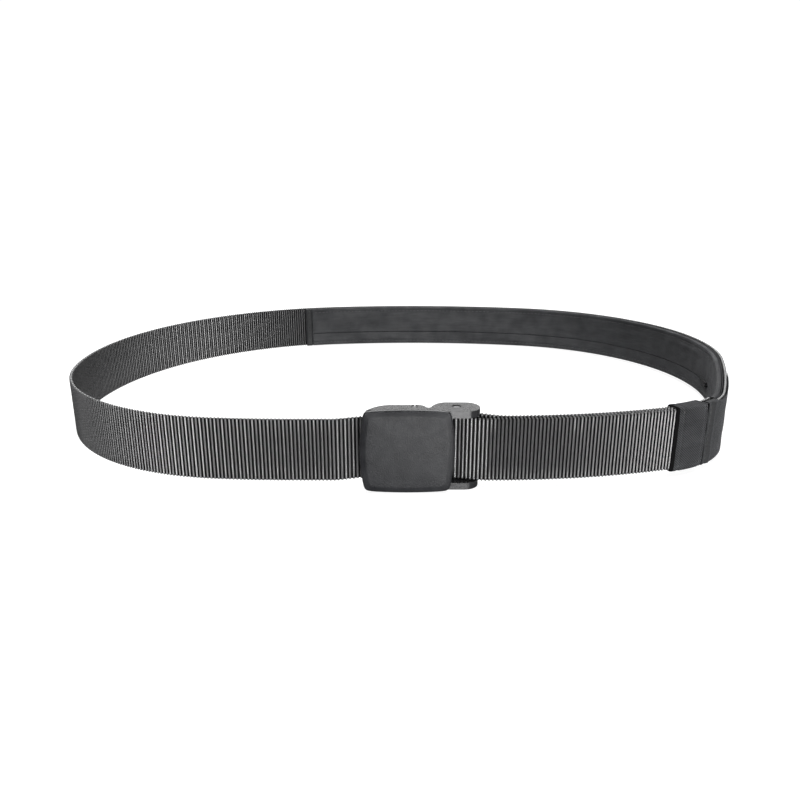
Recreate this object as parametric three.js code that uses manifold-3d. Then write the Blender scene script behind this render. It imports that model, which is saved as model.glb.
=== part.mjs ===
// Money belt with a hidden zipped pocket and a flip-cover cam buckle.
// Millimetres, +Z up, +Y away from the buckle, +X to the wearer's left as the buckle faces the reader.
// The belt stands on its lower edge, closed in a ring, with the buckle at the front (-Y).
//
// Belt coordinates: s runs along the ring (counterclockwise from above, 0 at the middle of the front),
// depth runs inwards from the outer face, and height runs up from the lower edge of the webbing.

import * as THREE from 'three';
import { mergeVertices } from 'three/addons/utils/BufferGeometryUtils.js';
import Module from 'manifold-3d';

const wasm = await Module();
wasm.setup();

// ---------- driving dimensions ----------

const GAP = 0.3; // between pieces that touch
const WEBBING_WIDTH = 30;
const WEBBING_THICKNESS = 1.8;
const FRAME_HEIGHT = 37.2; // buckle, over the two cheeks
const BUCKLE_LIFT = (FRAME_HEIGHT - WEBBING_WIDTH) / 2; // the cheeks reach this far below the webbing
const BELT_STEP = 4; // length of one flat facet of the webbing
const POCKET_STEP = 6;

// The ring: a straight front and eight tangent arcs, [radius, turn in degrees].
// The side arc's radius and the left straight are worked out so that the ring closes.
const STRAIGHT_RIGHT = 43.2;
const SIDE_ARC = 2;
const ZIP_ARC = 3;
const ARCS = [[270, 18.5], [54, 46.5], [null, 7.5], [126, 94.5], [377, 22.5], [156, 91], [109, 74], [392, 5.5]];

// Buckle, seen from above: x from the middle of the cover, y inwards from the webbing's outer face.
const BUCKLE_S = 3.1;
const CHEEK_THICKNESS = 3.2;
const PIVOT = { x: -16.2, y: 0.1, radius: 1.1 };
const GUIDE = { x: 3.4, y: 7.0, radius: 1.2 };
const ANCHOR = { x: 22.1, y: 6.6, radius: 1.7 };
const PIVOT_WALL = 2; // radius of the cheek round the pivot pin
const LOBE_BACK = 8.5;
const EAR_BACK = 12.2;
const EAR_FRONT = -0.8;
const EAR_CENTRE_X = 26;
const HUB_RADIUS = 2.4;
const CAM_RADIUS = 3.0;
const CAM_TEETH = 5;
const ANVIL = { left: -16, right: -8.5, thickness: 1.8 };
const COVER = { width: 42, height: 39.2, thickness: 2.8, corner: 3.6, front: -5.5, rise: 1.0 };
const COVER_BOW = { side: 1.5, end: 0.5 }; // how far each edge of the cover swells at its middle
const COVER_BEVEL = { depth: 1.0, width: 2.4 };
const LEVER = { right: 14, thickness: 1.8 };

// Where the webbing's outer face runs through the buckle, [x from the cover's middle, depth].
const GRIP_DEPTH = PIVOT.y + CAM_RADIUS + GAP;
const LOOP_RADIUS = ANCHOR.radius + GAP + WEBBING_THICKNESS / 2; // to the middle of the webbing
const TAIL_BEHIND_PIN = ANCHOR.y + LOOP_RADIUS + WEBBING_THICKNESS / 2 + GAP;
const LAYER = WEBBING_THICKNESS + GAP;
const TAIL_ROUTE = [
  [-34, 0], [-18, GRIP_DEPTH], [-8, GRIP_DEPTH], [GUIDE.x, GUIDE.y + GUIDE.radius + GAP], [17, TAIL_BEHIND_PIN],
];
const LOOP_CLOSES = { front: 14, back: 24 }; // the loop's layers are flat this far past the pin

// Places along the belt.
const SLEEVE = { start: 127, end: 146, fabric: 0.5 };
const LAP_START = 136.5; // the main webbing starts here, beside the end of the anchor loop
const ANCHOR_FRONT_END = 136;
const ANCHOR_BACK_END = 145;
const TAIL_END = 160;
const WRAP = { start: 146.8, end: 214, fabric: 0.5 };
const POCKET = { start: 161, end: 617, bottom: 0.6, top: 29.4, fabric: 0.4 };
const BINDING = { start: 617.3, end: 622 };

// Pocket layers, as depths from the webbing's outer face.
const BACK_PANEL_DEPTH = LAYER;
const FRONT_PANEL_DEPTH = 4.9;
const HEM_DEPTH = BACK_PANEL_DEPTH + 0.4 + GAP;
const HEM_HEIGHT = 1.4;

// Zip.
const ZIP = { height: 10, slit: 0.8, start: 251, end: 449, tapeWidth: 6, tape: 0.3, depth: 3.3 };
const COIL = { width: 1.6, thickness: 0.9, half_gap: 0.25 };
const ZIP_STOP = { length: 2.2, half_height: 1.9 };
const SLIDER = { s: 256, length: 8, bottom: 2.74, top: 4.8, half: 2.6, flange: 0.4, plate: 0.28, divider: 0.1 };
const ARCH = { half_length: 1.7, post: 0.6, half_width: 0.4, top: 7.2, hole_bottom: 5.5, hole_top: 6.6 };
const TAB = { axis: 6.0, thickness: 0.7, length: 14, half_width: 1.8, window: 3.4, window_half: 0.8, lift: 5 };

// ---------- materials ----------

const material = (color, roughness, metalness = 0) =>
  new THREE.MeshStandardMaterial({ color, roughness, metalness });
const WEBBING = material(0x1f2022, 0.6);
const POCKET_FABRIC = material(0x3a3b3d, 0.85);
const SLEEVE_FABRIC = material(0x333436, 0.9);
const PLASTIC = material(0x4b4c4e, 0.5);
const FRAME_PLASTIC = material(0x3a3b3d, 0.35);
const STEEL = material(0x2c2c2e, 0.35, 0.8);
const NYLON = material(0x18181a, 0.45);

// ---------- the ring ----------

const radians = THREE.MathUtils.degToRad;
const smooth = (t) => THREE.MathUtils.smoothstep(t, 0, 1);

// Displacement of an arc of unit radius that starts at one heading and turns left to another.
const arcStep = (from, to) => new THREE.Vector2(Math.sin(to) - Math.sin(from), Math.cos(from) - Math.cos(to));

function closedRing() {
  let heading = 0;
  const open = new THREE.Vector2(STRAIGHT_RIGHT, 0);
  let side = null;
  for (const [radius, turn] of ARCS) {
    const step = arcStep(heading, heading + radians(turn));
    if (radius === null) side = step;
    else open.addScaledVector(step, radius);
    heading += radians(turn);
  }
  const sideRadius = -open.y / side.y;
  const straightLeft = -open.x - side.x * sideRadius;
  const pieces = ARCS.map(([radius, turn]) => ({ radius: radius ?? sideRadius, turn: radians(turn) }));
  return [
    { length: STRAIGHT_RIGHT },
    ...pieces.map(({ radius, turn }) => ({ length: radius * turn, radius })),
    { length: straightLeft },
  ];
}

const RING = closedRing();
const RING_LENGTH = RING.reduce((sum, piece) => sum + piece.length, 0);

// Point and heading of the outer face at s.
function ringAt(s) {
  let rest = THREE.MathUtils.euclideanModulo(s, RING_LENGTH);
  let heading = 0;
  const point = new THREE.Vector2();
  for (const { length, radius } of RING) {
    const run = Math.min(rest, length);
    if (radius) {
      point.addScaledVector(arcStep(heading, heading + run / radius), radius);
      heading += run / radius;
    } else {
      point.add(new THREE.Vector2(Math.cos(heading), Math.sin(heading)).multiplyScalar(run));
    }
    rest -= run;
    if (rest <= 0) break;
  }
  return { point, heading };
}

// Plan point at s and a depth inwards.
function planPoint(s, depth) {
  const { point, heading } = ringAt(s);
  return point.add(new THREE.Vector2(-Math.sin(heading), Math.cos(heading)).multiplyScalar(depth));
}

// The webbing's lower edge is BUCKLE_LIFT up at the buckle and on the floor at the rear.
const RING_DEPTH = Math.max(...Array.from({ length: 400 }, (_, i) => ringAt((i / 400) * RING_LENGTH).point.y));
const lowerEdge = (y) => BUCKLE_LIFT * (1 - y / RING_DEPTH);

// ---------- geometry helpers ----------

function polygon(points) {
  return new THREE.Shape(points.map(([x, y]) => new THREE.Vector2(x, y)));
}

const rectangle = (x0, x1, y0, y1) => polygon([[x0, y0], [x1, y0], [x1, y1], [x0, y1]]);

// Sweeps a section, drawn as (across, height), along a plan route t -> point.
function sweep(section, route, start, end, step = BELT_STEP) {
  const steps = Math.max(1, Math.ceil((end - start) / step));
  const geometry = new THREE.ExtrudeGeometry(section, { depth: end - start, steps, bevelEnabled: false });
  const position = geometry.attributes.position;
  const reach = 0.05;
  for (let i = 0; i < position.count; i++) {
    const t = start + position.getZ(i);
    const centre = route(t);
    const along = route(t + reach).sub(route(t - reach)).normalize();
    const x = centre.x - along.y * position.getX(i);
    const y = centre.y + along.x * position.getX(i);
    position.setXYZ(i, x, y, position.getY(i) + lowerEdge(centre.y));
  }
  return geometry;
}

// A strip that follows the ring at a fixed depth.
const ringStrip = (section, start, end, step = POCKET_STEP) =>
  sweep(section, (s) => planPoint(s, 0), start, end, step);

// A plan outline extruded from one height to another.
function slab(shape, bottom, top, curveSegments = 10) {
  const geometry = new THREE.ExtrudeGeometry(shape, { depth: top - bottom, bevelEnabled: false, curveSegments });
  return geometry.translate(0, 0, bottom);
}

const rod = (x, y, radius, bottom, top, segments = 24) =>
  new THREE.CylinderGeometry(radius, radius, top - bottom, segments)
    .rotateX(Math.PI / 2).translate(x, y, (bottom + top) / 2);

function toSolid(geometry) {
  const bare = geometry.clone();
  bare.deleteAttribute('normal');
  bare.deleteAttribute('uv');
  const merged = mergeVertices(bare.index ? bare.toNonIndexed() : bare, 1e-4);
  return new wasm.Manifold(new wasm.Mesh({
    numProp: 3,
    vertProperties: new Float32Array(merged.attributes.position.array),
    triVerts: new Uint32Array(merged.index.array),
  }));
}

function toGeometry(solid) {
  const mesh = solid.getMesh();
  const geometry = new THREE.BufferGeometry();
  geometry.setAttribute('position', new THREE.BufferAttribute(mesh.vertProperties, 3));
  geometry.setIndex(new THREE.BufferAttribute(mesh.triVerts, 1));
  geometry.computeVertexNormals();
  return geometry;
}

function combine(added, removed = []) {
  let solid = added.map(toSolid).reduce((sum, next) => sum.add(next));
  for (const geometry of removed) solid = solid.subtract(toSolid(geometry));
  return toGeometry(solid);
}

const belt = new THREE.Group();

function addMesh(parent, name, geometry, finish) {
  const mesh = new THREE.Mesh(geometry, finish);
  mesh.name = name;
  parent.add(mesh);
  return mesh;
}

// ---------- webbing ----------

const halfWebbing = WEBBING_THICKNESS / 2;
const easeTo = (run, length, atPin, away) => atPin + (away - atPin) * smooth(Math.max(0, run) / length);

// Depths of the middle of the loop's two layers, run mm past the anchor pin.
const loopFront = (run) => easeTo(run, LOOP_CLOSES.front, ANCHOR.y - LOOP_RADIUS, halfWebbing);
const loopBack = (run) => easeTo(run, LOOP_CLOSES.back, ANCHOR.y + LOOP_RADIUS, LAYER + halfWebbing);

// Depth of the webbing's outer face, x mm right of the cover's middle. Past the pin it lies on the loop.
function tailDepth(x) {
  if (x <= TAIL_ROUTE[0][0]) return TAIL_ROUTE[0][1];
  for (let i = 1; i < TAIL_ROUTE.length; i++) {
    const [x0, depth0] = TAIL_ROUTE[i - 1];
    const [x1, depth1] = TAIL_ROUTE[i];
    if (x <= x1) return depth0 + (depth1 - depth0) * smooth((x - x0) / (x1 - x0));
  }
  return loopBack(x - ANCHOR.x) + halfWebbing + GAP;
}

const webbingSection = rectangle(-halfWebbing, halfWebbing, 0, WEBBING_WIDTH);

// One length: from the lap under the sleeve, round the ring, through the buckle and on as the tail.
function mainWebbing() {
  const route = (s) => planPoint(s, tailDepth(s - RING_LENGTH - BUCKLE_S) + halfWebbing);
  return sweep(webbingSection, route, LAP_START, RING_LENGTH + TAIL_END);
}

// A loop round the anchor pin; both ends are sewn under the sleeve.
function anchorWebbing() {
  const pin = BUCKLE_S + ANCHOR.x;
  const quarter = LOOP_RADIUS * Math.PI / 2;
  const route = (t) => {
    const run = Math.abs(t) - quarter;
    if (run > 0) return planPoint(pin + run, t < 0 ? loopFront(run) : loopBack(run));
    const angle = t / LOOP_RADIUS;
    return planPoint(pin - LOOP_RADIUS * Math.cos(angle), ANCHOR.y + LOOP_RADIUS * Math.sin(angle));
  };
  const frontRun = ANCHOR_FRONT_END - pin;
  const backRun = ANCHOR_BACK_END - pin;
  return sweep(webbingSection, route, -quarter - frontRun, quarter + backRun, 2.6);
}

addMesh(belt, 'main_webbing', mainWebbing(), WEBBING);
addMesh(belt, 'anchor_webbing', anchorWebbing(), WEBBING);

// ---------- sleeve and wrap ----------

// A fabric tube round the lap joint, which also keeps the tail.
function endSleeve() {
  const inner = { left: -GAP, right: 2 * LAYER + WEBBING_THICKNESS + GAP, bottom: -GAP, top: WEBBING_WIDTH + GAP };
  const cloth = SLEEVE.fabric;
  const section = rectangle(inner.left - cloth, inner.right + cloth, inner.bottom - cloth, inner.top + cloth);
  section.holes.push(rectangle(inner.left, inner.right, inner.bottom, inner.top));
  return ringStrip(section, SLEEVE.start, SLEEVE.end, 3);
}

// Pocket fabric that wraps the outer face of the webbing and folds over both edges.
function pocketWrap() {
  const cloth = WRAP.fabric;
  const inner = { face: -GAP, bottom: -GAP, top: WEBBING_WIDTH + GAP };
  const lipDepth = WEBBING_THICKNESS;
  const section = polygon([
    [inner.face - cloth, inner.bottom - cloth],
    [lipDepth, inner.bottom - cloth],
    [lipDepth, inner.bottom],
    [inner.face, inner.bottom],
    [inner.face, inner.top],
    [lipDepth, inner.top],
    [lipDepth, inner.top + cloth],
    [inner.face - cloth, inner.top + cloth],
  ]);
  return ringStrip(section, WRAP.start, WRAP.end, 4);
}

addMesh(belt, 'end_sleeve', endSleeve(), SLEEVE_FABRIC);
addMesh(belt, 'pocket_wrap', pocketWrap(), POCKET_FABRIC);

// ---------- pocket ----------

const panelBack = FRONT_PANEL_DEPTH + POCKET.fabric;

function upperPanelSection() {
  const edge = ZIP.height + ZIP.slit;
  return polygon([
    [FRONT_PANEL_DEPTH, edge],
    [panelBack, edge],
    [panelBack, POCKET.top],
    [HEM_DEPTH, POCKET.top],
    [HEM_DEPTH, POCKET.top - HEM_HEIGHT],
    [FRONT_PANEL_DEPTH, POCKET.top - HEM_HEIGHT],
  ]);
}

function lowerPanelSection() {
  const edge = ZIP.height - ZIP.slit;
  return polygon([
    [HEM_DEPTH, POCKET.bottom],
    [panelBack, POCKET.bottom],
    [panelBack, edge],
    [FRONT_PANEL_DEPTH, edge],
    [FRONT_PANEL_DEPTH, POCKET.bottom + HEM_HEIGHT],
    [HEM_DEPTH, POCKET.bottom + HEM_HEIGHT],
  ]);
}

const backPanelSection =
  rectangle(BACK_PANEL_DEPTH, BACK_PANEL_DEPTH + POCKET.fabric, POCKET.bottom, POCKET.top);
const bindingSection = rectangle(BACK_PANEL_DEPTH, panelBack, POCKET.bottom, POCKET.top);
addMesh(belt, 'pocket_back_panel', ringStrip(backPanelSection, POCKET.start, POCKET.end), POCKET_FABRIC);
addMesh(belt, 'pocket_upper_panel', ringStrip(upperPanelSection(), POCKET.start, POCKET.end), POCKET_FABRIC);
addMesh(belt, 'pocket_lower_panel', ringStrip(lowerPanelSection(), POCKET.start, POCKET.end), POCKET_FABRIC);
addMesh(belt, 'pocket_end_binding', ringStrip(bindingSection, BINDING.start, BINDING.end, 3), POCKET_FABRIC);

// ---------- zip ----------

for (const [side, sign] of [['upper', 1], ['lower', -1]]) {
  const level = (offset) => ZIP.height + sign * offset;
  const band = (near, far, depth, thickness) =>
    rectangle(depth, depth + thickness, Math.min(level(near), level(far)), Math.max(level(near), level(far)));
  const coilEdge = COIL.half_gap + COIL.width;
  const tape = band(coilEdge + GAP, ZIP.tapeWidth, ZIP.depth, ZIP.tape);
  const coil = band(COIL.half_gap, coilEdge, ZIP.depth, COIL.thickness);
  addMesh(belt, `zip_tape_${side}`, ringStrip(tape, ZIP.start, ZIP.end), NYLON);
  addMesh(belt, `zip_coil_${side}`, ringStrip(coil, ZIP.start, ZIP.end), NYLON);
}

const stopSection = rectangle(
  ZIP.depth - 0.2, ZIP.depth + COIL.thickness + 0.2,
  ZIP.height - ZIP_STOP.half_height, ZIP.height + ZIP_STOP.half_height,
);
const closedStop = ringStrip(stopSection, ZIP.start - GAP - ZIP_STOP.length, ZIP.start - GAP, ZIP_STOP.length);
const openStop = ringStrip(stopSection, ZIP.end + GAP, ZIP.end + GAP + ZIP_STOP.length, ZIP_STOP.length);
addMesh(belt, 'zip_stop_closed', closedStop, STEEL);
addMesh(belt, 'zip_stop_open', openStop, STEEL);

// The slider and its tab are drawn with x along the belt, y inwards and z up, then set on the ring.
const block = (x0, x1, y0, y1, z0, z1) =>
  new THREE.BoxGeometry(x1 - x0, y1 - y0, z1 - z0).translate((x0 + x1) / 2, (y0 + y1) / 2, (z0 + z1) / 2);

function sliderBody() {
  const end = SLIDER.length / 2;
  const { bottom, top, half, flange, plate, divider } = SLIDER;
  const flangeBottom = ZIP.depth + ZIP.tape + 0.3;
  const inArch = ARCH.half_length - ARCH.post;
  const added = [
    block(-end, end, bottom, bottom + plate, -half + flange, half - flange),
    block(-end, end, top - plate, top, -half, half),
    block(-end, end, flangeBottom, top, half - flange, half),
    block(-end, end, flangeBottom, top, -half, -half + flange),
    block(end - 2, end, bottom, top, -divider, divider),
    block(-ARCH.half_length, ARCH.half_length, top - plate, ARCH.top, -ARCH.half_width, ARCH.half_width),
  ];
  return combine(added, [block(-inArch, inArch, ARCH.hole_bottom, ARCH.hole_top, -1, 1)]);
}

// Flat tab with a window: its cross bar sits under the slider's arch and is the hinge.
function pullTab() {
  const bar = TAB.thickness / 2;
  const outline = new THREE.Shape();
  const tipX = TAB.length - TAB.half_width;
  outline.moveTo(-bar, -TAB.half_width);
  outline.lineTo(tipX, -TAB.half_width);
  outline.absarc(tipX, 0, TAB.half_width, -Math.PI / 2, Math.PI / 2);
  outline.lineTo(-bar, TAB.half_width);
  outline.closePath();
  outline.holes.push(rectangle(bar, bar + TAB.window, -TAB.window_half, TAB.window_half));
  const tab = slab(outline, -bar, bar, 6);
  return tab.rotateX(Math.PI / 2).rotateZ(radians(TAB.lift)).translate(0, TAB.axis, 0);
}

const sliderPlace = new THREE.Group();
const sliderRing = ringAt(SLIDER.s);
const sliderLevel = ZIP.height + lowerEdge(sliderRing.point.y);
sliderPlace.position.set(sliderRing.point.x, sliderRing.point.y, sliderLevel);
sliderPlace.rotation.z = sliderRing.heading;
belt.add(sliderPlace);
addMesh(sliderPlace, 'zip_slider', sliderBody(), STEEL);
addMesh(sliderPlace, 'zip_pull_tab', pullTab(), STEEL);

// ---------- buckle ----------

const buckle = new THREE.Group();
buckle.position.set(BUCKLE_S, 0, BUCKLE_LIFT + WEBBING_WIDTH / 2);
belt.add(buckle);

const cheekTop = FRAME_HEIGHT / 2;
const cheekInner = cheekTop - CHEEK_THICKNESS;
const leverHalf = cheekInner - GAP;

// Side cheek seen from above: round nose at the pivot, a long lobe, a waist and a round ear.
function cheekShape() {
  const shape = new THREE.Shape();
  const shoulder = PIVOT_WALL * Math.SQRT1_2;
  const earRadius = (EAR_BACK - EAR_FRONT) / 2;
  const earCentreY = (EAR_BACK + EAR_FRONT) / 2;
  const waist = { x: 9.6, y: 4.4 };
  shape.absarc(PIVOT.x, PIVOT.y, PIVOT_WALL, Math.PI, 1.5 * Math.PI);
  shape.quadraticCurveTo(0, PIVOT.y - PIVOT_WALL, waist.x, EAR_FRONT);
  shape.lineTo(EAR_CENTRE_X, EAR_FRONT);
  shape.absarc(EAR_CENTRE_X, earCentreY, earRadius, -Math.PI / 2, Math.PI / 2);
  shape.lineTo(18, EAR_BACK);
  shape.quadraticCurveTo(13, EAR_BACK, waist.x + 1, waist.y + 1);
  shape.quadraticCurveTo(waist.x, waist.y, waist.x - 1, waist.y + 1);
  shape.quadraticCurveTo(7.5, LOBE_BACK, 4.5, LOBE_BACK);
  shape.lineTo(-7, LOBE_BACK);
  shape.quadraticCurveTo(-13, LOBE_BACK, PIVOT.x - shoulder, PIVOT.y + shoulder);
  shape.absarc(PIVOT.x, PIVOT.y, PIVOT_WALL, 0.75 * Math.PI, Math.PI);
  return shape;
}

function buckleFrame() {
  const anvilFront = GRIP_DEPTH + WEBBING_THICKNESS + GAP;
  const anvil = block(
    ANVIL.left, ANVIL.right, anvilFront, anvilFront + ANVIL.thickness, -cheekInner - 1, cheekInner + 1,
  );
  const cheeks = [
    slab(cheekShape(), cheekInner, cheekTop),
    slab(cheekShape(), -cheekTop, -cheekInner),
  ];
  const bores = [PIVOT, GUIDE, ANCHOR].map(({ x, y, radius }) =>
    rod(x, y, radius + GAP, -FRAME_HEIGHT, FRAME_HEIGHT));
  return combine([...cheeks, anvil], bores);
}

// Cam seen from above: a round hub whose right rear quarter grows to the toothed grip.
function camShape() {
  const first = radians(30);
  const last = radians(115);
  const points = [];
  const perTooth = (last - first) / CAM_TEETH;
  for (let i = 0; i < CAM_TEETH; i++) {
    points.push([CAM_RADIUS, first + (i + 0.15) * perTooth], [CAM_RADIUS - 0.45, first + (i + 0.9) * perTooth]);
  }
  const backSteps = 16;
  for (let i = 0; i <= backSteps; i++) {
    points.push([HUB_RADIUS, last + (i / backSteps) * (2 * Math.PI - (last - first))]);
  }
  return polygon(points.map(([r, a]) => [PIVOT.x + r * Math.cos(a), PIVOT.y + r * Math.sin(a)]));
}

const coverBack = COVER.front + COVER.thickness;

// Cam hub and the plate that carries the cover.
function camLever() {
  const plateFront = coverBack + GAP;
  const plateBack = plateFront + LEVER.thickness;
  const half = leverHalf - 0.2;
  const plate = block(PIVOT.x, LEVER.right, plateFront, plateBack, -half, half);
  const ribs = [-1, 0, 1].map((row) =>
    block(PIVOT.x + 4, LEVER.right - 2, plateFront, plateBack + 0.8, row * 9 - 0.6, row * 9 + 0.6));
  const bore = rod(PIVOT.x, PIVOT.y, PIVOT.radius + GAP, -FRAME_HEIGHT, FRAME_HEIGHT);
  return combine([slab(camShape(), -leverHalf, leverHalf), plate, ...ribs], [bore]);
}

// Cover plate: rounded corners, slightly bowed sides and a sloping border.
function coverPlate() {
  const { side, end } = COVER_BOW;
  const halfWidth = COVER.width / 2 - COVER_BEVEL.width - side;
  const halfHeight = COVER.height / 2 - COVER_BEVEL.width - end;
  const inner = COVER.corner - COVER_BEVEL.width;
  const shape = new THREE.Shape();
  shape.moveTo(-halfWidth + inner, -halfHeight);
  shape.quadraticCurveTo(0, -halfHeight - 2 * end, halfWidth - inner, -halfHeight);
  shape.quadraticCurveTo(halfWidth, -halfHeight, halfWidth, -halfHeight + inner);
  shape.quadraticCurveTo(halfWidth + 2 * side, 0, halfWidth, halfHeight - inner);
  shape.quadraticCurveTo(halfWidth, halfHeight, halfWidth - inner, halfHeight);
  shape.quadraticCurveTo(0, halfHeight + 2 * end, -halfWidth + inner, halfHeight);
  shape.quadraticCurveTo(-halfWidth, halfHeight, -halfWidth, halfHeight - inner);
  shape.quadraticCurveTo(-halfWidth - 2 * side, 0, -halfWidth, -halfHeight + inner);
  shape.quadraticCurveTo(-halfWidth, -halfHeight, -halfWidth + inner, -halfHeight);
  const plate = new THREE.ExtrudeGeometry(shape, {
    depth: COVER.thickness - 2 * COVER_BEVEL.depth,
    bevelThickness: COVER_BEVEL.depth,
    bevelSize: COVER_BEVEL.width,
    bevelSegments: 2,
    curveSegments: 8,
  });
  return plate.rotateX(Math.PI / 2).translate(0, coverBack - COVER_BEVEL.depth, COVER.rise);
}

const pinEnd = cheekTop - 0.3;
addMesh(buckle, 'buckle_frame', buckleFrame(), FRAME_PLASTIC);
addMesh(buckle, 'cam_lever', camLever(), FRAME_PLASTIC);
addMesh(buckle, 'cover_plate', coverPlate(), PLASTIC);
addMesh(buckle, 'cover_pivot_pin', rod(PIVOT.x, PIVOT.y, PIVOT.radius, -pinEnd, pinEnd), STEEL);
addMesh(buckle, 'guide_pin', rod(GUIDE.x, GUIDE.y, GUIDE.radius, -pinEnd, pinEnd), STEEL);
addMesh(buckle, 'anchor_pin', rod(ANCHOR.x, ANCHOR.y, ANCHOR.radius, -pinEnd, pinEnd), STEEL);

// ---------- origin at the bottom centre ----------

const bounds = new THREE.Box3().setFromObject(belt, true);
const centre = bounds.getCenter(new THREE.Vector3());
belt.position.set(-centre.x, -centre.y, -bounds.min.z);

export default belt;
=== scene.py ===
import math

import bmesh
import bpy
import numpy as np
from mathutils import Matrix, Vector


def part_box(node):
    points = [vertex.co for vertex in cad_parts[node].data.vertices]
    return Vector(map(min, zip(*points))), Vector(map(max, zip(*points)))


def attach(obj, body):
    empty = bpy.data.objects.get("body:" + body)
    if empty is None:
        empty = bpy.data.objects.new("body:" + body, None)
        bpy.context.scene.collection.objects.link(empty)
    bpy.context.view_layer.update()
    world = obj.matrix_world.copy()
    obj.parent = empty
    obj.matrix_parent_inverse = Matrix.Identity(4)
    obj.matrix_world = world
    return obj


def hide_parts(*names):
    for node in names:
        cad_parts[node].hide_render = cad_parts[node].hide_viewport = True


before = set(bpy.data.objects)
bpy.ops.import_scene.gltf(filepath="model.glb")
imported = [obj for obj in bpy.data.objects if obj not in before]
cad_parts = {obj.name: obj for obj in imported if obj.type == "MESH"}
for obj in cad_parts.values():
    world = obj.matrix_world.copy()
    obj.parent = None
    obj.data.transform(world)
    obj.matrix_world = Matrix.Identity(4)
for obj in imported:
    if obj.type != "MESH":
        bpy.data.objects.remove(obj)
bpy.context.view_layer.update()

# Belt coordinates, in millimetres: s runs along the ring (counterclockwise from above, 0 at the middle
# of the front), depth runs inwards from the webbing's outer face, height runs up from its lower edge.
MM = 0.001

# ---------- driving dimensions, as in the CAD ----------

STRAIGHT_RIGHT = 43.2
SIDE_ARC = 2
ARCS = [(270, 18.5), (54, 46.5), (None, 7.5), (126, 94.5), (377, 22.5), (156, 91), (109, 74), (392, 5.5)]
WEBBING_WIDTH = 30.0
WEBBING_THICKNESS = 1.8
GAP = 0.3
LAYER = WEBBING_THICKNESS + GAP
BUCKLE_LIFT = 3.6
BUCKLE_S = 3.1

PIVOT = (-16.2, 0.1)
GUIDE = (3.4, 7.0, 1.2)
ANCHOR = (22.1, 6.6, 1.7)
CAM_RADIUS = 3.0
GRIP_DEPTH = PIVOT[1] + CAM_RADIUS + GAP
LOOP_RADIUS = ANCHOR[2] + GAP + WEBBING_THICKNESS / 2
TAIL_BEHIND_PIN = ANCHOR[1] + LOOP_RADIUS + WEBBING_THICKNESS / 2 + GAP
TAIL_ROUTE = [
    (-34, 0), (-18, GRIP_DEPTH), (-8, GRIP_DEPTH), (GUIDE[0], GUIDE[1] + GUIDE[2] + GAP),
    (17, TAIL_BEHIND_PIN),
]
LOOP_CLOSES = {"front": 14, "back": 24}

LAP_START = 136.5
ANCHOR_ENDS = (136, 145)
TAIL_END = 160
SLEEVE = (127, 146)
WRAP = (146.8, 214)
POCKET = (161, 617)
BINDING = (617.3, 622)
ZIP = (251, 449)
ZIP_HEIGHT = 10

# ---------- the ring ----------


def arc_step(a, b):
    """Displacement along an arc of unit radius from one heading to another."""
    return np.array([math.sin(b) - math.sin(a), math.cos(a) - math.cos(b)])


def ring_pieces():
    """(first s, length, radius or None, x, y, heading) of each straight and arc."""
    turns = [math.radians(turn) for _, turn in ARCS]
    headings = np.concatenate([[0], np.cumsum(turns)])
    steps = [arc_step(a, b) for a, b in zip(headings, headings[1:])]
    open_ends = np.array([STRAIGHT_RIGHT, 0.0]) + sum(
        radius * step for (radius, _), step in zip(ARCS, steps) if radius)
    side = -open_ends[1] / steps[SIDE_ARC][1]
    left = -open_ends[0] - steps[SIDE_ARC][0] * side
    lengths = [(STRAIGHT_RIGHT, None)]
    lengths += [((radius or side) * turn, radius or side) for (radius, _), turn in zip(ARCS, turns)]
    lengths.append((left, None))
    s, point, heading, pieces = 0.0, np.zeros(2), 0.0, []
    for length, radius in lengths:
        pieces.append((s, length, radius, *point, heading))
        if radius:
            point = point + radius * arc_step(heading, heading + length / radius)
            heading += length / radius
        else:
            point = point + length * np.array([math.cos(heading), math.sin(heading)])
        s += length
    return pieces, s


PIECES, RING_LENGTH = ring_pieces()


def plan(s, depth=0.0):
    """Plan points, as an array with x and y last, at s and a depth inwards."""
    s = np.mod(np.asarray(s, float), RING_LENGTH)
    x, y, heading = np.zeros((3, *s.shape))
    for start, length, radius, x0, y0, first in PIECES:
        on = (s >= start) & (s <= start + length)
        run = s[on] - start
        if radius:
            turned = first + run / radius
            x[on] = x0 + radius * (np.sin(turned) - math.sin(first))
            y[on] = y0 + radius * (math.cos(first) - np.cos(turned))
        else:
            turned = first
            x[on] = x0 + run * math.cos(first)
            y[on] = y0 + run * math.sin(first)
        heading[on] = turned
    return np.stack([x - np.sin(heading) * depth, y + np.cos(heading) * depth], axis=-1)


RING = plan(np.linspace(0, RING_LENGTH, 4000))
RING_DEPTH = RING[:, 1].max()
low_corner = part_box("main_webbing")[0] / MM
SHIFT = np.array([low_corner.x - RING[:, 0].min(), low_corner.y])


def in_frame(ground, height):
    """Points in the row frame, in metres, from plan points and heights above the webbing's lower edge."""
    lower = BUCKLE_LIFT * (1 - ground[..., 1] / RING_DEPTH)
    return np.concatenate([ground + SHIFT, (lower + height)[..., None]], axis=-1) * MM


def smooth(t):
    t = np.clip(t, 0, 1)
    return t * t * (3 - 2 * t)


def loop_depth(side, run):
    """Depth of the middle of the anchor loop's front or back layer, run mm past the pin."""
    at_pin = ANCHOR[1] + LOOP_RADIUS * (1 if side == "back" else -1)
    away = WEBBING_THICKNESS / 2 + (LAYER if side == "back" else 0)
    return at_pin + (away - at_pin) * smooth(run / LOOP_CLOSES[side])


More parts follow.
